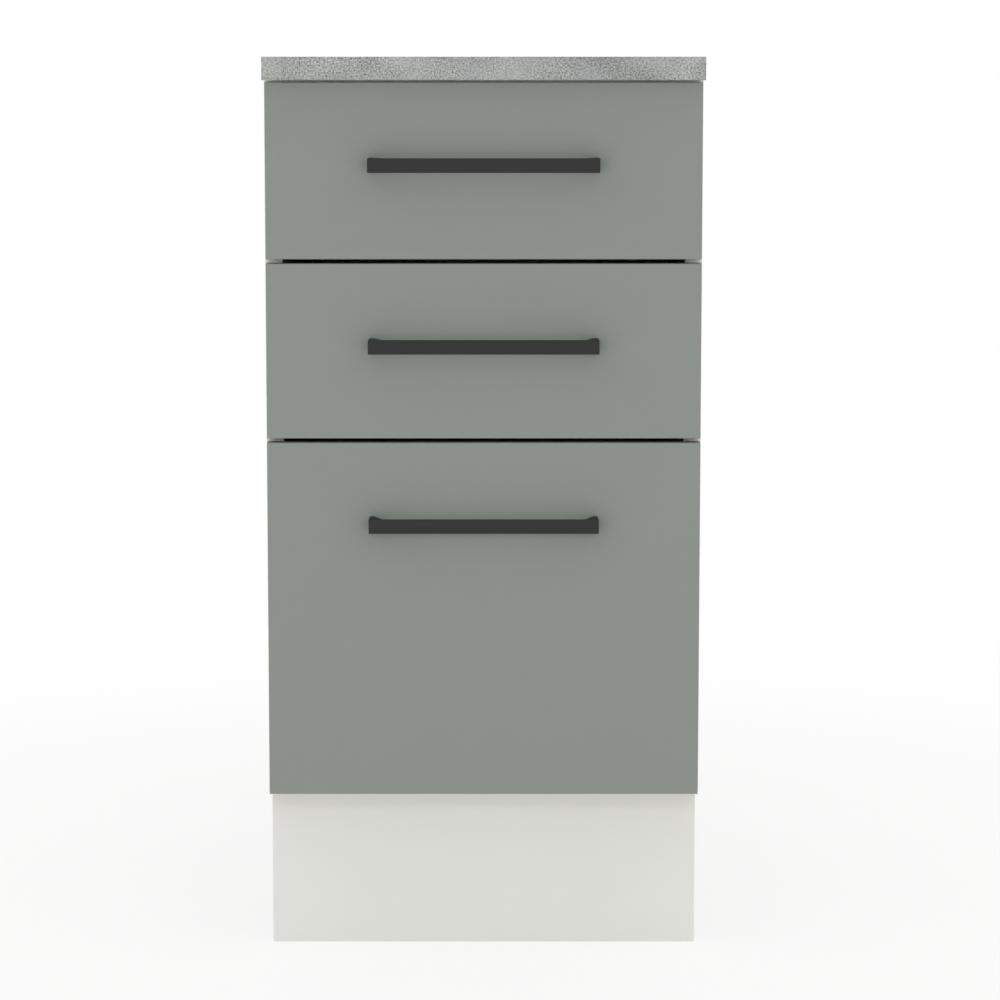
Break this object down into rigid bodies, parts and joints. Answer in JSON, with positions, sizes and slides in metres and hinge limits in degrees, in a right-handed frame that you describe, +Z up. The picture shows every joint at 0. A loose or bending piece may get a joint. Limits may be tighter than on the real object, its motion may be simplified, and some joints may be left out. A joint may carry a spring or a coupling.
{
  "type": "base cabinet with drawers",
  "caption": "Narrow kitchen base unit with shallow drawers over a deep one, bow handles, a set-back plinth on levelling legs and a worktop.",
  "frame": {"origin": "On the floor, under the middle of the unit's box.", "axes": "+X to the right as seen from the front, the drawer fronts face -Y, +Z up."},
  "size_m": [0.4, 0.608, 0.836],
  "materials": {
    "sage_front": "matte",
    "worktop_laminate": "matte",
    "white_board": "satin",
    "plinth_foil": "satin",
    "black_handle": "matte",
    "grey_steel": "satin",
    "zinc_steel": "satin",
    "nylon": "satin",
    "black_plastic": "satin"
  },
  "bodies": {
    "cabinet": {"side_panel_left": "white_board", "side_panel_right": "white_board", "bottom_panel": "white_board", "front_rail": "white_board", "rear_rail": "white_board", "back_panel": "white_board", "worktop": "worktop_laminate", "plinth_panel": "plinth_foil", "plinth_clip_left": "black_plastic", "plinth_clip_right": "black_plastic", "leg_socket_front_left": "black_plastic", "leg_tube_front_left": "black_plastic", "leg_socket_front_right": "black_plastic", "leg_tube_front_right": "black_plastic", "leg_socket_rear_left": "black_plastic", "leg_tube_rear_left": "black_plastic", "leg_socket_rear_right": "black_plastic", "leg_tube_rear_right": "black_plastic", "drawer_1_rail_left": "zinc_steel", "drawer_1_rail_right": "zinc_steel", "drawer_2_rail_left": "zinc_steel", "drawer_2_rail_right": "zinc_steel", "drawer_3_rail_left": "zinc_steel", "drawer_3_rail_right": "zinc_steel"},
    "drawer_1": {"drawer_1_front": "sage_front", "drawer_1_handle": "black_handle", "drawer_1_bottom": "white_board", "drawer_1_back": "white_board", "drawer_1_side_left": "grey_steel", "drawer_1_side_right": "grey_steel"},
    "drawer_2": {"drawer_2_front": "sage_front", "drawer_2_handle": "black_handle", "drawer_2_bottom": "white_board", "drawer_2_back": "white_board", "drawer_2_side_left": "grey_steel", "drawer_2_side_right": "grey_steel"},
    "drawer_3": {"drawer_3_front": "sage_front", "drawer_3_handle": "black_handle", "drawer_3_bottom": "white_board", "drawer_3_back": "white_board", "drawer_3_side_left": "grey_steel", "drawer_3_gallery_left": "grey_steel", "drawer_3_side_right": "grey_steel", "drawer_3_gallery_right": "grey_steel"},
    "drawer_1_front_roller_left": {"drawer_1_front_roller_left": "nylon"},
    "drawer_1_rear_roller_left": {"drawer_1_rear_roller_left": "nylon"},
    "drawer_1_front_roller_right": {"drawer_1_front_roller_right": "nylon"},
    "drawer_1_rear_roller_right": {"drawer_1_rear_roller_right": "nylon"},
    "drawer_2_front_roller_left": {"drawer_2_front_roller_left": "nylon"},
    "drawer_2_rear_roller_left": {"drawer_2_rear_roller_left": "nylon"},
    "drawer_2_front_roller_right": {"drawer_2_front_roller_right": "nylon"},
    "drawer_2_rear_roller_right": {"drawer_2_rear_roller_right": "nylon"},
    "drawer_3_front_roller_left": {"drawer_3_front_roller_left": "nylon"},
    "drawer_3_rear_roller_left": {"drawer_3_rear_roller_left": "nylon"},
    "drawer_3_front_roller_right": {"drawer_3_front_roller_right": "nylon"},
    "drawer_3_rear_roller_right": {"drawer_3_rear_roller_right": "nylon"},
    "leg_foot_front_left": {"leg_foot_front_left": "black_plastic"},
    "leg_foot_front_right": {"leg_foot_front_right": "black_plastic"},
    "leg_foot_rear_left": {"leg_foot_rear_left": "black_plastic"},
    "leg_foot_rear_right": {"leg_foot_rear_right": "black_plastic"}
  },
  "joints": [
    {"name": "drawer_1_slide", "type": "slide", "parent": "cabinet", "child": "drawer_1", "axis": [0, -1, 0], "range_m": [0, 0.375]},
    {"name": "drawer_1_front_roller_left_spin", "type": "hinge", "parent": "cabinet", "child": "drawer_1_front_roller_left", "pos_m": [-0.177, -0.244, 0.6951], "axis": [1, 0, 0], "continuous": true},
    {"name": "drawer_1_rear_roller_left_spin", "type": "hinge", "parent": "drawer_1", "child": "drawer_1_rear_roller_left", "pos_m": [-0.177, 0.227, 0.6933], "axis": [1, 0, 0], "continuous": true},
    {"name": "drawer_1_front_roller_right_spin", "type": "hinge", "parent": "cabinet", "child": "drawer_1_front_roller_right", "pos_m": [0.177, -0.244, 0.6951], "axis": [1, 0, 0], "continuous": true},
    {"name": "drawer_1_rear_roller_right_spin", "type": "hinge", "parent": "drawer_1", "child": "drawer_1_rear_roller_right", "pos_m": [0.177, 0.227, 0.6933], "axis": [1, 0, 0], "continuous": true},
    {"name": "drawer_2_slide", "type": "slide", "parent": "cabinet", "child": "drawer_2", "axis": [0, -1, 0], "range_m": [0, 0.375]},
    {"name": "drawer_2_front_roller_left_spin", "type": "hinge", "parent": "cabinet", "child": "drawer_2_front_roller_left", "pos_m": [-0.177, -0.244, 0.5311], "axis": [1, 0, 0], "continuous": true},
    {"name": "drawer_2_rear_roller_left_spin", "type": "hinge", "parent": "drawer_2", "child": "drawer_2_rear_roller_left", "pos_m": [-0.177, 0.227, 0.5293], "axis": [1, 0, 0], "continuous": true},
    {"name": "drawer_2_front_roller_right_spin", "type": "hinge", "parent": "cabinet", "child": "drawer_2_front_roller_right", "pos_m": [0.177, -0.244, 0.5311], "axis": [1, 0, 0], "continuous": true},
    {"name": "drawer_2_rear_roller_right_spin", "type": "hinge", "parent": "drawer_2", "child": "drawer_2_rear_roller_right", "pos_m": [0.177, 0.227, 0.5293], "axis": [1, 0, 0], "continuous": true},
    {"name": "drawer_3_slide", "type": "slide", "parent": "cabinet", "child": "drawer_3", "axis": [0, -1, 0], "range_m": [0, 0.375]},
    {"name": "drawer_3_front_roller_left_spin", "type": "hinge", "parent": "cabinet", "child": "drawer_3_front_roller_left", "pos_m": [-0.177, -0.244, 0.1991], "axis": [1, 0, 0], "continuous": true},
    {"name": "drawer_3_rear_roller_left_spin", "type": "hinge", "parent": "drawer_3", "child": "drawer_3_rear_roller_left", "pos_m": [-0.177, 0.227, 0.1973], "axis": [1, 0, 0], "continuous": true},
    {"name": "drawer_3_front_roller_right_spin", "type": "hinge", "parent": "cabinet", "child": "drawer_3_front_roller_right", "pos_m": [0.177, -0.244, 0.1991], "axis": [1, 0, 0], "continuous": true},
    {"name": "drawer_3_rear_roller_right_spin", "type": "hinge", "parent": "drawer_3", "child": "drawer_3_rear_roller_right", "pos_m": [0.177, 0.227, 0.1973], "axis": [1, 0, 0], "continuous": true},
    {"name": "leg_foot_front_left_turn", "type": "hinge", "parent": "cabinet", "child": "leg_foot_front_left", "pos_m": [-0.155, -0.169, 0.03], "axis": [0, 0, -1], "range_deg": [0, 3600]},
    {"name": "leg_foot_front_right_turn", "type": "hinge", "parent": "cabinet", "child": "leg_foot_front_right", "pos_m": [0.155, -0.169, 0.03], "axis": [0, 0, -1], "range_deg": [0, 3600]},
    {"name": "leg_foot_rear_left_turn", "type": "hinge", "parent": "cabinet", "child": "leg_foot_rear_left", "pos_m": [-0.155, 0.235, 0.03], "axis": [0, 0, -1], "range_deg": [0, 3600]},
    {"name": "leg_foot_rear_right_turn", "type": "hinge", "parent": "cabinet", "child": "leg_foot_rear_right", "pos_m": [0.155, 0.235, 0.03], "axis": [0, 0, -1], "range_deg": [0, 3600]}
  ],
  "couplings": [
    {"joint": "drawer_1_front_roller_left_spin", "follows": "drawer_1_slide", "rad_per_m": 111.11},
    {"joint": "drawer_1_rear_roller_left_spin", "follows": "drawer_1_slide", "rad_per_m": 111.11},
    {"joint": "drawer_1_front_roller_right_spin", "follows": "drawer_1_slide", "rad_per_m": 111.11},
    {"joint": "drawer_1_rear_roller_right_spin", "follows": "drawer_1_slide", "rad_per_m": 111.11},
    {"joint": "drawer_2_front_roller_left_spin", "follows": "drawer_2_slide", "rad_per_m": 111.11},
    {"joint": "drawer_2_rear_roller_left_spin", "follows": "drawer_2_slide", "rad_per_m": 111.11},
    {"joint": "drawer_2_front_roller_right_spin", "follows": "drawer_2_slide", "rad_per_m": 111.11},
    {"joint": "drawer_2_rear_roller_right_spin", "follows": "drawer_2_slide", "rad_per_m": 111.11},
    {"joint": "drawer_3_front_roller_left_spin", "follows": "drawer_3_slide", "rad_per_m": 111.11},
    {"joint": "drawer_3_rear_roller_left_spin", "follows": "drawer_3_slide", "rad_per_m": 111.11},
    {"joint": "drawer_3_front_roller_right_spin", "follows": "drawer_3_slide", "rad_per_m": 111.11},
    {"joint": "drawer_3_rear_roller_right_spin", "follows": "drawer_3_slide", "rad_per_m": 111.11}
  ]
}
